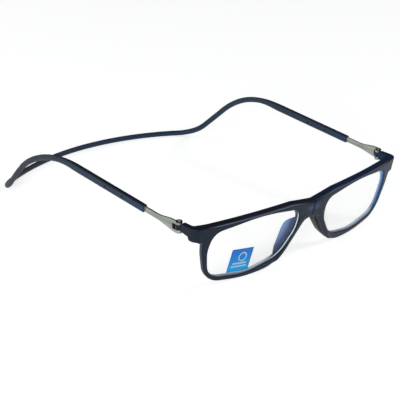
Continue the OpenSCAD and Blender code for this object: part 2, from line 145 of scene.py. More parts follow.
# one number per vertex, kept with the mesh under a name that a material reads
def paintPoints(piece, name, values):
    layer = piece.data.attributes.new(name, "FLOAT", "POINT")
    layer.data.foreach_set("value", np.asarray(values, np.float32))


# four corners for every cell of a grid whose points run row by row, each row a closed ring
def gridFaces(rows, columns):
    r, c = np.meshgrid(np.arange(rows - 1), np.arange(columns), indexing="ij")
    after = (c + 1) % columns
    return np.stack([r * columns + c, (r + 1) * columns + c, (r + 1) * columns + after,
                     r * columns + after], -1).reshape(-1, 4)


# the front: sizes in mm, in its own lens plane: x sideways, d behind the face, s up the face

front = {
    "tilt": 9.3,  # degrees, top edge forward
    "wrapRadius": 332,
    "lensWide": 52,
    "lensHigh": 28.7,
    "bridge": 19.2,
    "rimLow": 2,
    "rimSide": 2.5,
    "rimNose": 2,
    "brow": 1.5,
    "rimDeep": 2.4,
    "browDeep": 4,
    "ridge": 0.75,  # bevel along the top front edge
    "edge": 0.35,  # bevel along the other edges
    "footBevel": 0.4,  # height over which the lower edge curves back
    "bridgeDip": 2.3,
    "bridgeHigh": 7.5,
    "seam": 0.12,  # half the gap at the magnets
    "endStep": 5.8,
    "endWall": 2.6,
    "endHigh": 7,
    "endTaper": 1.4,  # its lower edge rises by this towards the hinge
    "endCorner": 3.8,
    "roofRise": 0.2,
    "knuckle": 1.5,
    "knuckleOut": 0.8,
    "knuckleHigh": 2.6,
    "lowKnuckle": 1.4,
    "hingeDrop": 5,
    "knuckleGap": 0.08,
    "swingGap": 0.2,
    "bush": 0.86,
    "lensThick": 1.2,
    "lensSet": 0.55,
    "groove": 0.5,  # how far the lens goes into the rim
    "play": 0.04,
    "magnetWide": 2.4,
    "magnetLong": 4.6,
    "magnetFit": (0.02, 0.1),  # round it and behind it
    "magnetBack": 0.05,
    "magnetUp": 0.2,
    "step": 0.2,  # spacing of the sampled field
    "fieldFrom": (-0.3, -0.9, -0.9),
    "fieldBack": 20.6,
}

wrapR = front["wrapRadius"]
rimLow, rimSide, rimDeep, browDeep = (front[k] for k in ("rimLow", "rimSide", "rimDeep", "browDeep"))
tilt = radians(front["tilt"])
lensIn = front["bridge"] / 2
lensOut = lensIn + front["lensWide"]
lensMid = (lensIn + lensOut) / 2
lensTop = rimLow + front["lensHigh"]
browTop = lensTop + front["brow"]
bridgeTop = browTop - front["bridgeDip"]
archTop = bridgeTop - front["bridgeHigh"]
endOut = lensOut + rimSide + front["endStep"]
endIn = endOut - front["endWall"]
endTop = browTop - 0.5
endLow = endTop - front["endHigh"]
endRoof = browTop + front["roofRise"]
hingeLow = endRoof - front["hingeDrop"]
gapLow = hingeLow + front["lowKnuckle"]
gapHigh = gapLow + front["knuckleHigh"]
pivotX = endOut + front["knuckleOut"] - front["knuckle"]
pivotY = hingeBack
lensTurn = asin(lensMid / wrapR)


# how far the wrapped face lies back: x squared over twice the radius
def wrap(x):
    return x * x / (2 * wrapR)


lensCorners = [  # x, height, corner radius
    (lensIn + 8.6, rimLow + 3.6, 15),
    (lensMid + 2, rimLow - 0.5, 35),
    (lensOut - 2.7, rimLow + 2.4, 9.4),
    (lensOut + 0.15, rimLow + 17.2, 16),
    (lensOut - 2.1, lensTop - 2.7, 8),
    (lensMid - 2.9, lensTop + 0.8, 82),
    (lensIn - 0.1, lensTop - 2.6, 5.3),
    (lensIn + 0.1, lensTop - 12.6, 12),
]
halfCorners = [
    (-1.5, archTop, 0),
    (lensIn - 2.6 - front["rimNose"], archTop - 1.7, 4.4),
    (lensIn + 10.1 - front["rimNose"], rimLow - 0.9, 20),
    (lensMid + 1.8, -0.7, 74),
    (lensOut + rimSide - 4, 2.3, 13),
    (lensOut + rimSide + 0.5, endLow - 6, 40),
    (lensOut + rimSide + 1, endLow, 1.5),
    (endIn - 0.4, endLow, 0),
    (endIn - 0.4, endTop, 0),
    (lensMid - 6, browTop, 100),
    (lensIn + 5.2, browTop - 0.1, 12),
    (-1.5, bridgeTop - 0.3, 0),
]


# each corner becomes an arc that touches both its sides, stepped every few degrees
def rounded(corners, fine=2):
    points = []
    n = len(corners)
    for i, (x, y, radius) in enumerate(corners):
        a, b, c = (np.array(corners[j % n][:2], float) for j in (i - 1, i, i + 1))
        if radius == 0:
            points.append(b[None])
            continue
        u, v = (a - b) / norm(a - b), (c - b) / norm(c - b)
        half = acos(np.clip(u @ v, -1, 1)) / 2
        reach = min(radius / tan(half), norm(a - b) * 0.48, norm(c - b) * 0.48)
        r = reach * tan(half)
        centre = b + (u + v) / norm(u + v) * r / sin(half)
        start = b + u * reach - centre
        turn = -np.sign(u[0] * v[1] - u[1] * v[0]) * (pi - 2 * half)
        t = np.linspace(0, turn, max(3, int(abs(degrees(turn)) / fine)))
        points.append(centre + np.stack([start[0] * np.cos(t) - start[1] * np.sin(t),
                                         start[0] * np.sin(t) + start[1] * np.cos(t)], -1))
    return np.concatenate(points)


# the outline as seen square to the middle of the lens
def squareOn(points):
    x, s = points.T
    return np.stack([x * cos(lensTurn) + wrap(x) * sin(lensTurn), s], -1)


# signed distance to a closed outline on a grid: nearest side, negative inside
def outlineField(points, x, y):
    a, b = points, np.roll(points, -1, 0)
    gx, gy = np.meshgrid(x, y, indexing="ij")
    nearest = np.full(gx.shape, 1e9)
    inside = np.zeros(gx.shape, bool)
    for (ax, ay), (bx, by) in zip(a, b):
        ex, ey = bx - ax, by - ay
        t = np.clip(((gx - ax) * ex + (gy - ay) * ey) / (ex * ex + ey * ey + 1e-12), 0, 1)
        nearest = np.minimum(nearest, (gx - ax - t * ex) ** 2 + (gy - ay - t * ey) ** 2)
        if ay != by:
            inside ^= ((ay > gy) != (by > gy)) & (gx < ax + (gy - ay) / ey * ex)
    return np.sqrt(nearest) * np.where(inside, -1, 1)


# an outline's distances: gridded, then read between the points in straight lines
def distanceTo(outline, low, high, x, y):
    step = moulding["gridStep"]
    gridX, gridY = (np.arange(a, b, step) for a, b in zip(low, high))
    field = outlineField(outline, gridX, gridY).astype(np.float32)
    u, v = (np.clip((at - start) / step, 0, count - 1.001)
            for at, start, count in zip((x, y), low, field.shape))
    i, j = u.astype(np.int32), v.astype(np.int32)
    u, v = (u - i).astype(np.float32), (v - j).astype(np.float32)
    return (field[i, j] * (1 - u) * (1 - v) + field[i + 1, j] * u * (1 - v)
            + field[i, j + 1] * (1 - u) * v + field[i + 1, j + 1] * u * v)


# the larger of two fields, with the corner between them rounded over k
def softMax(a, b, k):
    h = np.maximum(k - np.abs(a - b), 0) / k
    return np.maximum(a, b) + h * h * k * 0.25


def softMin(a, b, k):
    return -softMax(-a, -b, k)


# 0 to 1 between two values, with level ends: 3t squared less 2t cubed
def ease(value, low, high):
    t = np.clip((value - low) / (high - low), 0, 1)
    return t * t * (3 - 2 * t)


# how far the lens plane is raised so that the lower rim just meets the surface
def faceLift():
    x, s = rounded(halfCorners).T
    under = wrap(x) + np.maximum(0, front["footBevel"] - s)
    return -(s * cos(tilt) + under * sin(tilt)).min()


lift = faceLift()


# lens plane to the shared frame
def fromFace(x, d, s):
    return np.stack([x, d * cos(tilt) - s * sin(tilt) - midY,
                     lift + s * cos(tilt) + d * sin(tilt)], -1)


# closed surface where a field is zero: one point per cell, the mean of its edge crossings
def surfaceNet(values, origin, step):
    rows, columns = np.array(values.shape[1:]) - 1
    numbering = np.array([rows * columns, columns, 1])
    inside = values < 0
    cells, places, quads, flips = [], [], [], []
    for axis, ahead in enumerate(np.eye(3, dtype=int)):
        i = np.argwhere(np.diff(inside, axis=axis))
        a, b = values[tuple(i.T)], values[tuple((i + ahead).T)]
        p, q = np.delete(np.eye(3, dtype=int), axis, 0)
        ring = [(i - dp * p - dq * q) @ numbering for dp, dq in ((1, 1), (0, 1), (0, 0), (1, 0))]
        cells += ring
        places += [i + ahead * (a / (a - b))[:, None]] * 4
        quads.append(np.stack(ring, -1))
        flips.append((a < 0) == (axis != 1))
    cells, places = np.concatenate(cells), np.concatenate(places)
    quads, flips = np.concatenate(quads), np.concatenate(flips)
    used, where = np.unique(cells, return_inverse=True)
    count = np.bincount(where)
    points = np.stack([np.bincount(where, places[:, k]) / count for k in range(3)], -1)
    faces = np.searchsorted(used, quads)
    faces[~flips] = faces[~flips][:, ::-1]
    return points * step + origin, faces


# how the moulded forms meet, in mm
moulding = {
    "gridStep": 0.1,
    "faceGrid": ((-3, -4), (76, 38)),  # for the outlines seen square on
    "planGrid": ((54, -3), (76, 26)),  # for the end piece seen from above
    "planStarts": 56,  # nothing of it is nearer the bridge
    "deepFrom": 1.4,  # the rim gets deeper from this far below the arch
    "deepTo": 2,  # to this far below the opening's top
    "ridgeGrows": (24, 28),  # the edge's bevel grows into the ridge between these heights
    "rimRound": 0.2,
    "bevelRound": 0.12,
    "wallRound": 0.8,
    "wallEndRound": 0.3,
    "wallToRim": 1.4,
    "wallInner": (1, 0.3, 2, 0.4),  # the end piece's inner corners in plan
    "roofRound": 0.45,
    "openingRound": 0.25,
    "openingBevel": (0.3, 0.1),
    "knuckleRound": 0.15,
}


# a bevel of the rim: the two distances meet at 45 degrees
def bevelled(a, b, wide):
    return (a + b + wide) * sqrt(0.5)


# the rim: the space between the outline's distance and the face's, deeper towards the brow
def rimField(s, o, t):
    m = moulding
    deep = rimDeep + (browDeep - rimDeep) * ease(s, archTop - m["deepFrom"], lensTop - m["deepTo"])
    ridge = front["edge"] + (front["ridge"] - front["edge"]) * ease(s, *m["ridgeGrows"])
    rim = softMax(o, softMax(-t, t - deep, m["rimRound"]), m["rimRound"])
    rim = softMax(rim, bevelled(o, -t, ridge), m["bevelRound"])
    return softMax(rim, bevelled(o, t - deep, front["edge"]), m["bevelRound"]), deep


# the end piece: its plan seen from above, cut level at the top and rising underneath
def endField(x, d, s, y):
    m = moulding
    start, back = lensOut + rimSide - m["wallInner"][0], pivotY + 9
    wallStart = wrap(endIn) + browDeep
    plan = rounded([
        (start, wrap(start) + m["wallInner"][1], 0),
        (endOut, wrap(endOut), front["endCorner"]),
        (endOut, back, 0),
        (endIn, back, 0),
        (endIn, wallStart + 1, m["wallInner"][2]),
        (start, wrap(start) + browDeep - m["wallInner"][3], 0),
    ])
    e = distanceTo(plan, *m["planGrid"], x, d)
    e = np.where(x < m["planStarts"], 9, e)
    rise = np.clip((d - wallStart) / (pivotY - front["knuckle"] - wallStart), 0, 1)
    under = endLow + front["endTaper"] * rise
    wall = softMax(softMax(e, s - endTop, m["wallRound"]), under - s, m["wallRound"])
    return softMax(wall, y - (pivotY - front["knuckle"] - front["swingGap"]), m["wallEndRound"])


nosePad = {
    "reach": 5.6,  # mm behind the rim
    "rise": 0.34,  # share of its height over which it reaches its full depth
    "fall": 0.6,  # and over which it falls back to the rim
    "fullness": 0.6,
    "root": (1.6, 2.9, 2.4, 0.3),  # how much thicker it gets on the nose side
    "rootAt": (0, 0.4, 0.8, 1),  # at these shares of its height, from its top down
    "rootStarts": (1.2, 2.8),  # behind the face
    "high": 15.2,
    "thick": 2.2,
    "slant": 8.8,  # its lower end stands this much further out than its top
    "toe": 0.12,  # it turns outwards by this for each mm back
    "inset": 1.6,  # its middle from the opening, and the height that this holds at
    "overArch": 0.6,
    "overRim": 0.6,
    "inRim": 2,  # it starts this deep in the rim
    "capRound": 0.5,
    "sideRound": 1.3,
    "endRound": 0.6,
    "trim": (0.1, 4, 0.8, 0.4),  # its low end keeps to the rim's outline
    "toRim": 1.1,
}


# the pad: a leaning wall whose reach behind the rim swells and falls along its height
def padField(x, d, s, o):
    p = nosePad
    top, low = archTop + p["overArch"], rimLow + p["overRim"]
    down = (top - s) / (top - low)
    lean = p["slant"] / p["high"]
    middle = lensIn - p["inset"] + (archTop - p["inset"] - s) * lean + p["toe"] * (d - rimDeep)
    reach = p["reach"] * ease(down, 0, p["rise"]) ** p["fullness"] \
        * np.clip((1 - down) / p["fall"], 0, 1) ** p["fullness"]
    root = np.interp(down, p["rootAt"], p["root"]) * ease(d, *p["rootStarts"])
    side = (np.abs(x - middle + root / 2) - root / 2) / hypot(1, lean) - p["thick"] / 2
    ends = softMax(d - rimDeep - reach, rimDeep - p["inRim"] - d, p["capRound"])
    pad = softMax(side, ends, p["sideRound"])
    pad = softMax(pad, softMax(s - top, low - s, p["capRound"]), p["endRound"])
    past, widens, trimFrom, trimRound = p["trim"]
    return softMax(pad, o - past - widens * np.clip(trimFrom - down, 0, 1), trimRound)


# the plastic knuckle between the fork's lugs, and the web that carries it
def knuckleField(px, py, z, x):
    k = front["knuckle"]
    web = np.maximum(np.maximum(-px - k, x - endOut), np.maximum(py, -py - k - front["swingGap"] - 1))
    tongue = np.minimum(np.hypot(px, py) - k, web)
    slab = np.abs(z - (gapLow + gapHigh) / 2) - (gapHigh - gapLow) / 2 + front["knuckleGap"]
    return softMax(tongue, slab, moulding["knuckleRound"])


# one half of the front as a signed field, built up from its moulded forms
def frontField(x, d, s):
    m = moulding
    across = x * cos(lensTurn) + d * sin(lensTurn)
    o, q = (distanceTo(squareOn(rounded(corners)), *m["faceGrid"], across, s)
            for corners in (halfCorners, lensCorners))
    t = wrapR - np.hypot(x, wrapR - d)
    y = d * cos(tilt) - s * sin(tilt)
    z = lift + s * cos(tilt) + d * sin(tilt)
    px, py = x - pivotX, y - pivotY

    rim, deep = rimField(s, o, t)
    body = np.maximum(softMin(rim, endField(x, d, s, y), m["wallToRim"]), -t)
    body = softMin(body, padField(x, d, s, o), nosePad["toRim"])
    body = softMax(body, z - endRoof, m["roofRound"])
    body = softMax(body, -q, m["openingRound"])
    bevel, bevelRound = m["openingBevel"]
    body = softMax(body, bevelled(-q, -t, bevel), bevelRound)
    body = np.minimum(body, knuckleField(px, py, z, x))
    body = np.maximum(body, front["bush"] - np.hypot(px, py))

    body = softMax(body, front["seam"] - x, m["knuckleRound"])
    magnetD = (rimDeep + browDeep) / 4 + front["magnetBack"]
    magnetS = (bridgeTop + archTop) / 2 + front["magnetUp"]
    roundIt, behindIt = front["magnetFit"]
    pocket = np.maximum(np.hypot(d - magnetD, s - magnetS) - front["magnetWide"] / 2 - roundIt,
                        x - front["seam"] - front["magnetLong"] - behindIt)
    return {
        "body": np.maximum(body, -pocket),
        "fromOutside": o,
        "fromLens": q,
        "depth": t,
        "behindRim": t - deep,
        "padDepth": np.clip((d - rimDeep) / nosePad["reach"], 0, 1),
    }


# the field is sampled once and its mirror image gives the other half
def makeFronts():
    step, low = front["step"], np.array(front["fieldFrom"])
    high = endOut + 1.3, front["fieldBack"], browTop + 1.1
    x, d, s = (np.arange(a, b, step, dtype=np.float32) for a, b in zip(low, high))
    grid = np.meshgrid(x, d, s, indexing="ij", sparse=True)
    field = frontField(*(np.broadcast_to(g, (len(x), len(d), len(s))) for g in grid))["body"]
    points, faces = surfaceNet(field, low, step)
    print("front half:", len(points), "points", len(faces), "faces")
    marks = frontField(*points.T)
    del marks["body"]
    marks["height"], marks["sideways"] = points[:, 2], points[:, 0]
    fronts = []
    for name, sign in sides:
        marks["toRight"] = points[:, 0] * sign
        place = fromFace(marks["toRight"], points[:, 1], points[:, 2])
        node = "front_" + name
        piece = newPiece("front_half_" + name, place, faces, node, [node])
        for mark, values in marks.items():
            paintPoints(piece, mark, values)
        fronts.append(piece)
    return fronts


fronts = makeFronts()


# a closed plate: rings from a pole out to the outline on the near side, and back in on the far side
def plate(outline, inward, near, far, lay):
    middle = outline.mean(0)
    rings = middle + (outline - middle) * np.asarray(inward)[:, None, None]
    n, m = len(outline), len(inward)
    depth = np.repeat([near, far], n * m)
    points = np.concatenate([rings.reshape(-1, 2), rings[::-1].reshape(-1, 2), [middle, middle]])
    depth = np.append(depth, [near, far])
    faces = [gridFaces(2 * m, n), fan(np.arange(n), 2 * n * m),
             fan(np.arange(n) + (2 * m - 1) * n, 2 * n * m + 1)[:, ::-1]]
    return lay(points[:, 0], points[:, 1], depth), faces, points


# triangles from each side of a ring to its pole
def fan(ring, pole):
    return np.stack([np.roll(ring, -1), ring, np.full(len(ring), pole)], -1)


# a closed outline moved outwards: each point goes along the normal of its neighbours' line
def movedOut(points, reach):
    along = np.roll(points, -1, 0) - np.roll(points, 1, 0)
    along /= norm(along, axis=1)[:, None]
    return points + np.stack([along[:, 1], -along[:, 0]], -1) * reach


# a point of the lens plane at a depth under the wrapped face, its place across seen square on
def onLens(across, s, t):
    r = wrapR - t
    turn = lensTurn + np.arcsin((across - wrapR * sin(lensTurn)) / r)
    return r * np.sin(turn), wrapR - r * np.cos(turn), s


lensMesh = {
    "fine": 1,  # degrees along the corners
    "apart": 0.02,  # mm, least step along the outline
    "rings": (0.12, 0.3, 0.55, 0.75),  # shares of the way from the middle to the edge
    "edgeRings": 24,  # then closer ones, up to the edge
    "edgeStep": 0.0042,
    "sharp": 40,  # degrees
}


def makeLenses():
    hole = squareOn(rounded(lensCorners, lensMesh["fine"]))
    hole = hole[np.append(True, norm(np.diff(hole, axis=0), axis=1) > lensMesh["apart"])]
    edge = movedOut(hole, front["groove"] - front["play"])
    inward = np.append(lensMesh["rings"], 1 - np.arange(lensMesh["edgeRings"], -1, -1) * lensMesh["edgeStep"])
    near, far = front["lensSet"], front["lensSet"] + front["lensThick"]
    (x, d, s), faces = plate(edge, inward, near, far, onLens)[:2]
    lenses = []
    for name, sign in sides:
        lens = newPiece("lens_plate_" + name, fromFace(x * sign, d, s), faces, "front_" + name,
                        ["lens_" + name])
        lens.data.set_sharp_from_angle(angle=radians(lensMesh["sharp"]))
        lenses.append(lens)
    return lenses


film = {
    "wide": 12.4,
    "high": 12,
    "thick": 0.1,
    "fromSide": 19.8,  # middle of the film to the outer edge of the lens
    "above": 7.7,  # and to the lower edge
    "turn": 6.5,  # degrees, clockwise from the front
    "corner": 0.35,
    "gap": 0.02,
    "cornerFine": 10,  # degrees
    "sidePoints": 16,
    "rings": 24,
    "inner": 0.1,  # size of the ring at its middle
}


# turned about its middle, then laid on the wrap just in front of the lens
def onFilm(a, b, t):
    turn = radians(film["turn"])
    x = film["fromSide"] - lensOut + a * cos(turn) + b * sin(turn)
    s = rimLow + film["above"] - a * sin(turn) + b * cos(turn)
    return x, wrapR - np.sqrt((wrapR - t) ** 2 - x * x), s


def makeFilm():
    w, h, r = film["wide"] / 2, film["high"] / 2, film["corner"]
    outline = rounded([(w, -h, r), (w, h, r), (-w, h, r), (-w, -h, r)], film["cornerFine"])
    fine = np.concatenate([np.linspace(a, b, film["sidePoints"], endpoint=False)
                           for a, b in zip(outline, np.roll(outline, -1, 0))])
    back = front["lensSet"] - film["gap"]
    inward = np.linspace(film["inner"], 1, film["rings"])
    face, faces, flat = plate(fine, inward, back - film["thick"], back, onFilm)
    piece = newPiece("film_square", fromFace(*face), faces, "front_left", ["lens_film"])
    paintPoints(piece, "across", flat[:, 0])
    paintPoints(piece, "upward", flat[:, 1])
    return piece


lenses = makeLenses()
filmPiece = makeFilm()
print("lenses and film made")


# the neck band: one piece from arm to arm; lengths are counted along it from the sleeve's mouth

band = {
    "mouthBack": 21.1,  # behind the hinge axis
    "mouthRise": 4,  # above the hinge's lower end
    "armThick": 1,
    "sleeveRise": 4.3,  # degrees
    "sleeveLong": 48.6,
    "sleeve": (2.6, 3.6, 0.5, 0.14),  # sections: wide, high, bevel, its edges' radius
    "slim": (2.4, 3, 0.85, 0.8),
    "channel": (1.16, 2.56, 0.08, 0.04),
    "change": 14,  # length over which the sleeve becomes the band
    "bend": 51,
    "drop": 44.4,
    "heel": 26,
    "splay": 2.9,
    "splayLong": 10,
    "sideLong": 18.3,
    "sideRadius": 90,
    "sideTurn": 17,
    "cornerRadius": 20,
    "cornerTurn": 45.2,
    "channelDeep": 47,
    "pins": (14.2, 26.4),
    "pinHole": 1.02,
    "step": 0.5,
    "planPoints": 6001,
    "napePoints": 90,
    "riseOn": 4,  # the straight rise goes on past the sleeve
    "holePoints": 40,
    "sharp": 50,  # degrees
}

sleeveWide, sleeveHigh = band["sleeve"][:2]
mouthX = endOut + front["knuckleOut"] - band["armThick"] / 2
mouthY = hingeBack + band["mouthBack"]
mouthZ = hingeLow + band["mouthRise"]


# heading along the plan: level runs and arcs, each arc's heading growing evenly; place is its sum
def bandPlan():
    turns = [(band["sleeveLong"], 0), (band["splayLong"], -band["splay"]), (band["sideLong"], 0),
             *((radians(turn) * radius, turn) for turn, radius in (
                 (band["sideTurn"] + band["splay"], band["sideRadius"]),
                 (band["cornerTurn"], band["cornerRadius"])))]
    lengths = np.cumsum([0] + [run for run, turn in turns])
    headings = np.radians(np.cumsum([0] + [turn for run, turn in turns]))
    fine = np.linspace(0, lengths[-1], band["planPoints"])
    h = np.interp(fine, lengths, headings)
    across, ahead = (np.append(0, np.cumsum((part[1:] + part[:-1]) / 2 * np.diff(fine)))
                     for part in (np.sin(h), np.cos(h)))
    x, y = mouthX - across, mouthY + ahead
    napeR = x[-1] / cos(h[-1])
    w = np.arange(0, lengths[-1], band["step"])
    rest = np.linspace(h[-1], pi / 2, band["napePoints"])
    return (np.append(np.interp(w, fine, x), x[-1] - napeR * (cos(h[-1]) - np.cos(rest))),
            np.append(np.interp(w, fine, y), y[-1] + napeR * (np.sin(rest) - sin(h[-1]))),
            np.append(np.interp(w, fine, h), rest),
            np.append(w, lengths[-1] + napeR * (rest - h[-1])))


# side view: a straight rise, a bend over its own radius, a straight drop, a heel, then level
def bandHeight(w):
    rise, drop = radians(band["sleeveRise"]), radians(band["drop"])
    bend, heel, level = band["bend"], band["heel"], band["slim"][1] / 2
    riseEnd = band["sleeveLong"] * cos(rise) + band["riseOn"]
    bendX = riseEnd + bend * sin(rise)
    bendZ = mouthZ + riseEnd * tan(rise) - bend * cos(rise)
    dropX, dropZ = bendX + bend * sin(drop), bendZ + bend * cos(drop)
    heelEnd = dropX + (dropZ - level) / tan(drop) + heel * tan(drop / 2)
    heelStart = heelEnd - heel * sin(drop)
    over, under = np.clip((w - bendX) / bend, -1, 1), np.clip((w - heelEnd) / heel, -1, 0)
    parts = [w < riseEnd, w < dropX, w < heelStart, w < heelEnd]
    z = np.select(parts, [mouthZ + w * tan(rise), bendZ + bend * np.sqrt(1 - over ** 2),
                          dropZ - (w - dropX) * tan(drop),
                          level + heel * (1 - np.sqrt(1 - under ** 2))], level)
    pitch = np.select(parts, [rise, -np.arcsin(over), -drop, np.arcsin(under)], 0)
    return z, pitch


# octagon with eased edges, always with as many points
def bandSection(wide, high, bevel, edge):
    w, h = wide / 2, high / 2
    half = np.array([(w, bevel - h), (w, h - bevel), (w - bevel, h), (bevel - w, h)])
    return rounded([(x, y, edge) for x, y in np.append(half, -half, 0)], 8)


# sections square to the path; both ends fold in and line the sleeve's channel
def makeBand():
    x, y, h, w = bandPlan()
    side = np.ones(len(x))
    x, y, h, w, side = (np.append(a, b[-2::-1]) for a, b in
                        ((x, x * -1), (y, y), (h, pi - h), (w, w), (side, -side)))
    z, pitch = bandHeight(w)
    pitch = pitch * side
    sleeve, slim, channel = (bandSection(*band[kind]) for kind in ("sleeve", "slim", "channel"))
    sleeveEdge = band["sleeve"][3]
    small = 1 - 2 * sleeveEdge / np.array([sleeveWide, sleeveHigh])
    blend = np.clip((w - band["sleeveLong"]) / band["change"], 0, 1)[:, None, None]
    shapes = sleeve * (1 - blend) + slim * blend
    station = np.pad(np.arange(len(x)), 4, "edge")
    ends = np.array([channel * 0.02, channel, channel, sleeve * small])
    shapes = np.concatenate([ends, shapes, ends[::-1]])
    out = np.stack([np.cos(h), np.sin(h), 0 * h], -1)[station]
    up = np.stack([np.sin(h) * np.sin(pitch), -np.cos(h) * np.sin(pitch), np.cos(pitch)], -1)[station]
    ahead = np.cross(up, out)
    place = np.stack([x, y - midY, z], -1)[station]
    deep = band["channelDeep"]
    shift = np.zeros(len(station))
    shift[[0, 1]], shift[[-1, -2]] = deep, -deep
    shift[4], shift[-5] = sleeveEdge, -sleeveEdge
    place = place + ahead * shift[:, None]
    points = place[:, None] + out[:, None] * shapes[:, :, :1] + up[:, None] * shapes[:, :, 1:]
    n, rows = len(sleeve), len(station)
    faces = [gridFaces(rows, n), fan(np.arange(n), rows * n)[:, ::-1],
             fan(np.arange(n) + (rows - 1) * n, rows * n + 1)]
    piece = newPiece("neck_band", np.append(points.reshape(-1, 3), place[[0, -1]], 0), faces, "headband",
                     ["headband"])
    paintPoints(piece, "along", np.append(np.repeat(w[station], n), [0, 0]))
    tall = np.abs(shapes[:, :, 1]).max(1)[:, None]
    paintPoints(piece, "upward", np.append((shapes[:, :, 1] / tall).ravel(), [0, 0]))
    cutPinHoles(piece)
    piece.data.set_sharp_from_angle(angle=radians(band["sharp"]))
    return piece


# four round holes across the sleeves, taken out with a Boolean that is applied at once
def cutPinHoles(piece):
    rise = radians(band["sleeveRise"])
    t = np.linspace(0, 2 * pi, band["holePoints"], endpoint=False)
    r, reach = band["pinHole"] / 2, sleeveWide
    points, faces = [], []
    for sign in (-1, 1):
        for along in band["pins"]:
            y = mouthY - midY + along * cos(rise) + r * np.sin(t)
            z = mouthZ + along * sin(rise) + r * np.cos(t)
            start = len(points) * len(t)
            points += [np.stack([0 * t + sign * mouthX + e * reach, y, z], -1) for e in (-1, 1)]
            faces += [(start + f).tolist() for f in gridFaces(2, len(t))]
            ring = start + np.arange(len(t))
            faces += [ring.tolist(), (ring[::-1] + len(t)).tolist()]
    mesh = bpy.data.meshes.new("pin_cutter")
    mesh.from_pydata((np.concatenate(points) * mm).tolist(), [], faces)
    solid = bmesh.new()
    solid.from_mesh(mesh)
    bmesh.ops.recalc_face_normals(solid, faces=solid.faces)
    solid.to_mesh(mesh)
    solid.free()
    cutter = added("pin_cutter", mesh)
    cut = piece.modifiers.new("holes", "BOOLEAN")
    cut.object, cut.operation, cut.solver = cutter, "DIFFERENCE", "EXACT"
    applyAll(piece)
    bpy.data.objects.remove(cutter)


def applyAll(piece):
    ready = bpy.context.evaluated_depsgraph_get()
    mesh = bpy.data.meshes.new_from_object(piece.evaluated_get(ready), preserve_all_data_layers=True,
                                           depsgraph=ready)
    piece.modifiers.clear()
    piece.data = mesh


neckBand = makeBand()
print("neck band:", len(neckBand.data.vertices), "points")


# the steel parts keep the solid's shape, merged, with small bright edges

steel = {
    "armEdge": 0.1,  # mm
    "screwEdge": 0.06,
    "bushEdge": 0.04,
    "merge": 1e-6,  # metres
    "flat": 0.5,  # degrees
    "edgeFrom": 30,
}


def edged(node, name, body, width):
    mesh = frame["nodes"][node].data.copy()
    solid = bmesh.new()
    solid.from_mesh(mesh)
    bmesh.ops.remove_doubles(solid, verts=solid.verts, dist=steel["merge"])
    bmesh.ops.dissolve_limit(solid, angle_limit=radians(steel["flat"]), verts=solid.verts,
                             edges=solid.edges)
    solid.to_mesh(mesh)
    solid.free()
    mesh.materials.clear()
    piece = added(name, mesh)
    mesh.shade_smooth()
    bevel = piece.modifiers.new("edges", "BEVEL")
    bevel.width, bevel.segments, bevel.limit_method = width * mm, 2, "ANGLE"
    bevel.angle_limit = radians(steel["edgeFrom"])
    bevel.harden_normals = True
    applyAll(piece)
    return joined(piece, body, [node])


arms, screws, bushes = [], [], []
for side, sign in sides:
    arm, half = "arm_" + side, "front_" + side
    arms.append(edged(arm, "steel_arm_" + side, arm, steel["armEdge"]))
    screws.append(edged("hinge_screw_" + side, "pivot_screw_" + side, arm, steel["screwEdge"]))
    bushes.append(edged("hinge_bush_" + side, "pivot_bush_" + side, half, steel["bushEdge"]))
print("steel parts made")


# the fork's slot is closed on the inner side behind the knuckle; the thin plate is black, as painted shade in
# the slot
forkWeb = {
    "from": 1.66,  # mm behind the hinge axis
    "to": 3,
    "thick": 0.2,
    "over": 0.1,  # into both lugs
}


def makeWeb(side, sign):
    inner = endOut + front["knuckleOut"] - band["armThick"]
    x, y, z = np.meshgrid([inner, inner + forkWeb["thick"]], [forkWeb["from"], forkWeb["to"]],
                          [gapLow - forkWeb["over"], gapHigh + forkWeb["over"]], indexing="ij")
    points = np.stack([x * sign, y + hingeAt[1] / mm, z], -1).reshape(-1, 3)
    faces = np.array([(0, 1, 3, 2), (4, 6, 7, 5), (0, 4, 5, 1), (2, 3, 7, 6), (0, 2, 6, 4), (1, 5, 7, 3)])
    return newPiece("fork_web_" + side, points, faces, "arm_" + side, smooth=False)


webs = [makeWeb(*side) for side in sides]


# shader maths: an expression on sockets adds its Math nodes
class Wire:
    def __init__(self, tree, socket):
        self.tree, self.socket = tree, socket

    def maths(self, operation, other=0, flipped=False):
        node = self.tree.nodes.new("ShaderNodeMath")
        node.operation = operation
        for hole, value in zip(node.inputs, (other, self) if flipped else (self, other)):
            plug(self.tree, hole, value)
        return Wire(self.tree, node.outputs[0])

    def __add__(self, other): return self.maths("ADD", other)
    def __sub__(self, other): return self.maths("SUBTRACT", other)
    def __rsub__(self, other): return self.maths("SUBTRACT", other, flipped=True)
    def __mul__(self, other): return self.maths("MULTIPLY", other)
    def __truediv__(self, other): return self.maths("DIVIDE", other)
    def __rtruediv__(self, other): return self.maths("DIVIDE", other, flipped=True)
    def __pow__(self, other): return self.maths("POWER", other)
    def __rpow__(self, other): return self.maths("POWER", other, flipped=True)
    def highest(self, other): return self.maths("MAXIMUM", other)
    def size(self): return self.maths("ABSOLUTE")
    __radd__, __rmul__ = __add__, __mul__


def plug(tree, hole, value):
    if isinstance(value, Wire):
        tree.links.new(value.socket, hole)
    elif isinstance(value, tuple) and len(value) == 3 and len(hole.default_value) == 4:
        hole.default_value = (*value, 1)
    else:
        hole.default_value = value


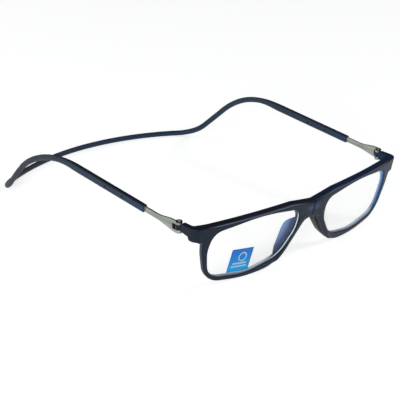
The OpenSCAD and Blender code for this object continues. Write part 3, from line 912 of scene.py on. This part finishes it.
# one material: its shader's constants are set at once, its patterns are wired in
class Finish:
    def __init__(self, name, color, roughness, gloss=0.5, **constants):
        self.material = bpy.data.materials.new(name)
        self.material.use_nodes = True
        self.tree = self.material.node_tree
        self.shader = next(n for n in self.tree.nodes if n.type == "BSDF_PRINCIPLED")
        self.color, self.marks = color, {}
        self.set(**{"Base Color": color, "Roughness": roughness, "Specular IOR Level": gloss}, **constants)

    def set(self, **values):
        for name, value in values.items():
            plug(self.tree, self.shader.inputs[name], value)

    def node(self, kind, settings=None, out=0, **sockets):
        node = self.tree.nodes.new("ShaderNode" + kind)
        for name, value in (settings or {}).items():
            setattr(node, name, value)
        for name, value in sockets.items():
            numbered = name[0] == "n" and name[1:].isdigit()
            plug(self.tree, node.inputs[int(name[1:]) if numbered else name], value)
        return Wire(self.tree, node.outputs[out])

    def mix(self, amount, a, b):
        return self.node("Mix", {"data_type": "RGBA"}, out=2, n0=amount, n6=a, n7=b)

    # lays a colour over what is there, as far as the mask says
    def over(self, mask, color):
        self.color = self.mix(mask, self.color, color)

    # the numbers painted on the points, each read once
    def value(self, name):
        if name not in self.marks:
            self.marks[name] = self.node("Attribute", {"attribute_name": name}, out="Fac")
        return self.marks[name]

    def place(self):
        return self.node("TexCoord", out="Object")

    def axes(self):
        parts = self.node("SeparateXYZ", Vector=self.place()).socket.node
        return [Wire(self.tree, socket) for socket in parts.outputs]

    def noise(self, scale, detail=3, stretch=(1, 1, 1)):
        along = self.node("Mapping", Vector=self.place(), Scale=stretch)
        return self.node("TexNoise", Vector=along, Scale=scale, Detail=detail)

    # a value's range low to high carried to 0 to 1, level beyond
    def spread(self, value, low, high):
        return self.node("MapRange", {"clamp": True, "interpolation_type": "SMOOTHSTEP"},
                         n0=value, n1=low, n2=high, n3=0, n4=1)

    def patches(self, scale, detail, low, high):
        return self.spread(self.noise(scale, detail), low, high)

    # a region: how strongly it shows times the spread of each of its marks
    def within(self, shown, *limits):
        return prod((self.spread(self.value(mark), *limit) for mark, *limit in limits), start=shown)

    def bump(self, height, strength, distance):
        self.set(Normal=self.node("Bump", Height=height, Strength=strength, Distance=distance))

    def done(self, roughness):
        self.set(**{"Base Color": self.color, "Roughness": roughness})
        return self.material


# floor and light

stage = {
    "floorHalf": 1.6,  # metres
    "floorColor": (0.86, 0.87, 0.875),
    "floorRough": 0.9,
    "floorShown": 0.64,  # what the camera sees on top of the light that falls on it
    "floorMirrored": 0.42,  # what a reflection sees on top of that light
    "skyShown": 1,
    "skyMirrored": 0.08,
    "skyLight": 0.14,
}


# rays that end at the camera, straight or through a lens, and reflected rays
def rays(tree):
    path = tree.nodes.new("ShaderNodeLightPath").outputs
    seen, through, mirrored = (Wire(tree, path["Is %s Ray" % kind])
                               for kind in ("Camera", "Transmission", "Glossy"))
    return seen.highest(through), mirrored


def makeStage():
    side = stage["floorHalf"]
    mesh = bpy.data.meshes.new("floor")
    corners = [(-side, -side, 0), (side, -side, 0), (side, side, 0), (-side, side, 0)]
    mesh.from_pydata(corners, [], [(0, 1, 2, 3)])
    floor = added("floor", mesh)
    paper = Finish("floor_paper", stage["floorColor"], stage["floorRough"], 0)
    seen, mirrored = rays(paper.tree)
    glow = paper.node("Emission", Color=(1, 1, 1),
                      Strength=seen * stage["floorShown"] + mirrored * stage["floorMirrored"])
    both = paper.node("AddShader", n0=Wire(paper.tree, paper.shader.outputs[0]), n1=glow)
    output = next(n for n in paper.tree.nodes if n.type == "OUTPUT_MATERIAL")
    paper.tree.links.new(both.socket, output.inputs[0])
    floor.data.materials.append(paper.material)

    world = bpy.data.worlds.new("studio")
    bpy.context.scene.world = world
    world.use_nodes = True
    tree = world.node_tree
    ground = next(n for n in tree.nodes if n.type == "BACKGROUND")
    seen, mirrored = rays(tree)
    plug(tree, ground.inputs["Color"], (1, 1, 1))
    plug(tree, ground.inputs["Strength"], seen * (stage["skyShown"] - stage["skyLight"])
         + mirrored * (stage["skyMirrored"] - stage["skyLight"]) + stage["skyLight"])


def softBox(name, place, target, size, power):
    lamp = bpy.data.lights.new(name, "AREA")
    lamp.shape = "RECTANGLE"
    lamp.size, lamp.size_y = size
    lamp.energy = power
    back = np.array(place) - target
    stand(added(name, lamp), back / norm(back), place)


lamps = {  # place, point aimed at and size in metres, power in watts
    "key": ((-1, -0.55, 0.34), (0, 0, 0.02), (0.9, 0.35), 9),
    "ridge": ((0.72, -0.5, 0.74), (0, -0.05, 0.02), (0.3, 0.2), 2),
    "back": ((-0.5, 0.9, 0.5), (0, 0, 0.02), (0.8, 0.35), 2),
}

makeStage()
for name, lamp in lamps.items():
    softBox(name, *lamp)
print("stage lit")


# the looks: linear colours; noise by scale per metre, detail and where its patches begin and are full

navyFinish = {
    "deep": (0.0065, 0.0085, 0.019),
    "blue": (0.012, 0.022, 0.055),  # where the plastic is thin
    "face": (0.006, 0.011, 0.022),
    "ridge": (0.15, 0.18, 0.25),  # painted highlight along the brow's upper front edge
    "side": (0.045, 0.062, 0.092),  # painted light on the rim's outer wall, lit from the left
    "glow": (0.03, 0.085, 0.23),  # painted glow over the magnets, light coming through the thin plastic there
    "through": (0.025, 0.07, 0.19),  # light that comes through the right rim
    "wallFront": (0.012, 0.03, 0.09),
    "wallBlue": (0.1, 0.22, 0.48),  # painted light: the opening's wall lightens towards the back
    "wallBack": (0.5, 0.64, 0.78),
    # painted highlight along the lower wall of the opening
    "lowFront": (0.16, 0.18, 0.24),
    "lowBack": (0.68, 0.84, 0.95),
    # painted light coming through the right half's brow
    "browBlue": (0.007, 0.02, 0.065),
    "lensLine": (0.72, 0.82, 0.92),  # painted highlight: the bright edge of the lens, painted on the rim's wall where it is seen through the lens's face
    "strip": (0.01, 0.02, 0.05),
    # painted light coming through the nose pad, brighter towards its back
    "padSide": (0.045, 0.06, 0.15),
    "padBack": (0.19, 0.34, 0.62),
    # painted shade on the wall that faces the nose
    "noseWall": (0.004, 0.007, 0.018),
    "dust": (0.10, 0.12, 0.15),
    "specular": (0.6, 0.8, 1),
    "rough": 0.3,
    "thin": (55, 2, 0.4, 0.7),
    "wear": (900, 4, 0.62, 0.78),
    "ridgeWide": (0.4, 0.1),  # on both sides of the bevel's plane
    "ridgeDepth": 0.3,
    "ridgeDeep": (0.26, 0.04),  # before and behind that depth
    "glowUp": 0.4,
    "glowHigh": (1.9, 0.3),
}

# each region: how strongly it shows, then its marks in mm, where it begins and where it is full
navyRegions = {
    "blue": (0.6,),
    "face": (0.8, ("depth", 0.25, 0.05)),
    "ridge": (1, ("height", 26, 28), ("sideways", lensOut + 3, lensOut - 5), ("sideways", 0, 14)),
    "browBlue": (1, ("toRight", 4, 14), ("fromOutside", -0.5, -0.1), ("depth", 0.5, 0.9), ("height", 26, 28)),
    "side": (1, ("fromOutside", -0.3, -0.05), ("depth", 0.3, 0.8), ("height", 27, 22)),
    "through": (0.8, ("toRight", lensOut - 12, lensOut + 1), ("fromLens", 2.2, 0.2), ("height", 29, 25)),
    "glow": (0.95, ("sideways", front["magnetLong"] + 0.4, front["magnetLong"] - 2.4),
             ("sideways", 0.1, 1.6), ("depth", 1.6, 0.2)),
    "pad": (1, ("behindRim", 0, 0.4), ("sideways", 24, 20), ("fromLens", 1.6, 0.9)),
    "padBack": (1, ("padDepth", 0.15, 0.85)),
    "noseWall": (1, ("fromOutside", -0.9, -0.2), ("depth", 0.3, 0.6), ("height", 27, 24),
                 ("sideways", 24, 20)),
    "wall": (1, ("fromLens", 0.3, 0.12), ("behindRim", 0.35, 0.1), ("height", 28.5, 25),
             ("depth", 0.25, 0.4)),
    "wallBlue": (1, ("depth", 0.25, 1.3)),
    "wallBack": (1, ("depth", 1.1, 2.3)),
    "lowBack": (1, ("depth", 0.4, 1.6)),
    "low": (1, ("height", 7.5, 3.5)),
    "nose": (1, ("sideways", lensIn + 16, lensIn + 9), ("height", 3, 5)),
    "padSide": (1, ("depth", 1.6, 2.2)),
    "lensLine": (1, ("depth", 0.35, 0.5), ("depth", 1.1, 0.9)),
    "dust": (0.05,),
}


# a dark blue plastic that light comes through where it is thin, with painted light, highlights and shade on
# its walls and edges: each region by its distances in mm
def navyPlastic():
    look = navyFinish
    paint = Finish("navy_plastic", look["deep"], look["rough"], 0.3, **{"Specular Tint": look["specular"]})
    where = {name: paint.within(*region) for name, region in navyRegions.items()}
    fromOutside, depth, height = (paint.value(mark) for mark in ("fromOutside", "depth", "height"))
    paint.over(paint.patches(*look["thin"]) * where["blue"], look["blue"])
    paint.over(where["face"], look["face"])

    # painted highlight on the bevel along the brow's upper front edge
    onRidge = paint.spread((fromOutside - depth + front["ridge"]).size(), *look["ridgeWide"]) \
        * paint.spread((depth - look["ridgeDepth"]).size(), *look["ridgeDeep"])
    paint.over(onRidge * where["ridge"], look["ridge"])
    # painted light: bluer through the right half's brow, on the rim's outer wall, and through the right rim
    for name in ("browBlue", "side", "through"):
        paint.over(where[name], look[name])

    # painted glow over the magnets
    magnetS = (bridgeTop + archTop) / 2 + look["glowUp"]
    fromMagnet = (height - magnetS + 2 * paint.noise(420, 1) - 1).size()
    paint.over(where["glow"] * paint.spread(fromMagnet, *look["glowHigh"]), look["glow"])
    # painted light coming through the nose pad, brighter towards its back
    paint.over(where["pad"], paint.mix(where["padBack"], look["padSide"], look["padBack"]))
    # painted shade on the wall that faces the nose
    paint.over(where["noseWall"], look["noseWall"])

    # painted light on the opening's wall, lighter towards the back, with a painted highlight along its lower
    # side
    wall = paint.mix(where["wallBlue"], look["wallFront"], look["wallBlue"])
    wall = paint.mix(where["wallBack"], wall, look["wallBack"])
    wall = paint.mix(where["low"], wall, paint.mix(where["lowBack"], look["lowFront"], look["lowBack"]))
    # on the nose side, painted light through the pad further back
    nose = paint.mix(where["padSide"], look["strip"], look["padSide"])
    # painted highlight of the lens's edge
    nose = paint.mix(where["lensLine"], nose, look["lensLine"])
    paint.over(where["wall"], paint.mix(where["nose"], wall, nose))

    paint.over(paint.patches(*look["wear"]) * where["dust"], look["dust"])
    paint.bump(paint.noise(2600, 2), 0.1, 0.00004)
    return paint.done(look["rough"] + 0.12 * paint.noise(300))


bandFinish = {
    "side": (0.022, 0.04, 0.072),
    "bluer": (0.02, 0.045, 0.1),  # near the mouths
    "greyer": (0.032, 0.042, 0.056),  # on the left side's drop
    "neck": (0.015, 0.036, 0.08),
    # painted shade on the upper side, and in the ring round each pin
    "top": (0.004, 0.007, 0.014),
    "rough": 0.42,
    "leftFrom": (-0.015, -0.055),  # metres sideways
    "pinShadow": (0.78, 0.62),  # painted shadow round each pin, mm from the pin's axis
}
bandRegions = {
    "bluer": (1, ("along", 18, 0)),
    "neck": (1, ("along", 70, 125)),
    "greyer": (0.9, ("along", 40, 75)),
    "top": (0.45, ("upward", 0.7, 0.9), ("along", 105, 60)),
}


# the band: looks that follow its length, painted shade on its upper side, stronger on the left, and a painted
# shadow round each pin
def bandPlastic():
    look = bandFinish
    paint = Finish("band_plastic_satin", look["side"], look["rough"], 0.3)
    where = {name: paint.within(*region) for name, region in bandRegions.items()}
    onLeft = paint.spread(paint.axes()[0], *look["leftFrom"])
    paint.over(where["bluer"], look["bluer"])
    paint.over(where["neck"], look["neck"])
    paint.over(where["greyer"] * onLeft, look["greyer"])
    # painted shade on the upper side, twice as strong on the left
    paint.over(where["top"] * (1 + onLeft), look["top"])
    along, up = paint.value("along"), paint.value("upward") * (sleeveHigh / 2)
    # painted shadow round each pin
    for pin in band["pins"]:
        fromPin = ((along - pin) * (along - pin) + up * up) ** 0.5
        paint.over(paint.spread(fromPin, *look["pinShadow"]), look["top"])
    paint.bump(paint.noise(2400, 2), 0.12, 0.00004)
    return paint.done(look["rough"] + 0.14 * paint.noise(140))


steelFinish = {
    "black": (0.012, 0.013, 0.015),  # painted shade round the screw head
    "eye": (1.7, 1.5),  # mm from the axis
    "ringSoft": 0.12,
    "ringDeep": (0.0006, 0.0003),  # metres under the top of the head
    "patchy": (0.36, 0.62),
    "rough": 0.34,
}
steelKinds = {  # light and dark, metallic, stretch of the streaks, mm to the black ring of painted shade
    "arm_brushed": ((0.46, 0.5, 0.44), (0.29, 0.31, 0.28), 0.85, (1, 0.06, 1), 0.9),
    "screw_turned": ((0.95, 0.95, 0.92), (0.46, 0.5, 0.44), 0.25, (1, 1, 0.2), 0.8),
}


# steel with streaks in light and dark, painted shade in a black ring round the hinge axis
def brushedSteel(name, light, dark, metallic, stretch, ringFrom):
    look = steelFinish
    paint = Finish(name, light, look["rough"], Metallic=metallic)
    streaks = paint.noise(420, 4, stretch)
    shade = paint.spread(streaks * 0.6 + paint.noise(90, 2) * 0.4, *look["patchy"])
    x, y, z = paint.axes()
    fromAxis = ((x.size() - pivotX * mm) ** 2 + (y - hingeAt[1]) ** 2) ** 0.5 / mm
    top = max(corner.co.z for corner in screws[0].data.vertices)
    ring = paint.spread(fromAxis, ringFrom - look["ringSoft"], ringFrom) \
        * paint.spread(fromAxis, *look["eye"]) * paint.spread(z, *(top - deep for deep in look["ringDeep"]))
    paint.color = paint.mix(shade, dark, light)
    # painted shade round the screw head
    paint.over(ring, look["black"])
    paint.bump(streaks, 0.15, 0.00003)
    return paint.done(0.24 + 0.2 * streaks)


lensFinish = {
    "tint": (0.93, 0.96, 1),
    "seen": 0.02,  # how much of the lens shows
    "smears": (70, 4, 0.55, 0.8),
    "rough": 0.03,
}


# clear, with a trace of smears
def lensPlastic():
    paint = Finish("lens_clear", lensFinish["tint"], lensFinish["rough"])
    smear = paint.patches(*lensFinish["smears"])
    paint.set(Alpha=lensFinish["seen"] + 0.01 * smear)
    return paint.done(lensFinish["rough"] + 0.06 * smear)


filmFinish = {
    "high": (0.02, 0.24, 0.86),
    "low": (0.004, 0.46, 1),
    "edge": (0.012, 0.09, 0.36),
    "print": (0.72, 0.9, 0.97),
    "change": (-5, 5.5),  # mm up from the middle
    "ring": (0.9, 1.6, 2.1),  # across, up and radius of the printed ring
    "ringLine": (0.5, 0.22),
    "bars": ((-1.7, 0.55, 8.2), (-3.3, 0.5, 9.2)),
    "rough": 0.3,
}


# light blue below and darker above, with a ring and two bars by their distances
def filmPrint():
    look = filmFinish
    paint = Finish("film_print", look["low"], look["rough"], 0.2)
    across, up = paint.value("across"), paint.value("upward")
    blot = paint.noise(260)
    paint.over(paint.spread(up + 1.4 * blot, *look["change"]), look["high"])
    fromMiddle = (across.size() - film["wide"] / 2).highest(up.size() - film["high"] / 2)
    paint.over(0.75 * paint.spread(fromMiddle, -0.55, -0.05), look["edge"])
    x, y, r = look["ring"]
    fromRing = (((across - x) * (across - x) + (up - y) * (up - y)) ** 0.5 - r).size()
    mark = paint.spread(fromRing, *look["ringLine"])
    for y, half, long in look["bars"]:
        mark = mark.highest(paint.spread((up - y).size(), half, half - 0.25)
                            * paint.spread(across.size(), long / 2, long / 2 - 0.3))
    paint.over(mark * (0.55 + 0.4 * blot), look["print"])
    return paint.done(0.24 + 0.2 * blot)


pinFinish = {
    "black": (0.004, 0.0045, 0.006),
    "rough": 0.5,
}


def darkPin():
    paint = Finish("pin_black", pinFinish["black"], pinFinish["rough"], 0.15)
    grain = paint.noise(1500)
    paint.bump(grain, 0.1, 0.00003)
    return paint.done(0.4 + 0.25 * grain)


def dress(piece, material):
    piece.data.materials.clear()
    piece.data.materials.append(material)


def finishAll():
    navy, slate = navyPlastic(), bandPlastic()
    arm, bright = (brushedSteel(name, *kind) for name, kind in steelKinds.items())
    lens, printed, pin = lensPlastic(), filmPrint(), darkPin()
    # the fork webs take the pins' black, as painted shade in the slot
    for pieces, material in ((fronts, navy), ([neckBand], slate), (arms, arm), (screws + bushes, bright),
                             (lenses, lens), ([filmPiece], printed), (webs, pin)):
        for piece in pieces:
            dress(piece, material)
    for name, node in frame["nodes"].items():
        if name.startswith("stop_pin"):
            dress(node, pin)
        elif name.startswith("magnet"):
            dress(node, bright)


finishAll()
print("finishes set")
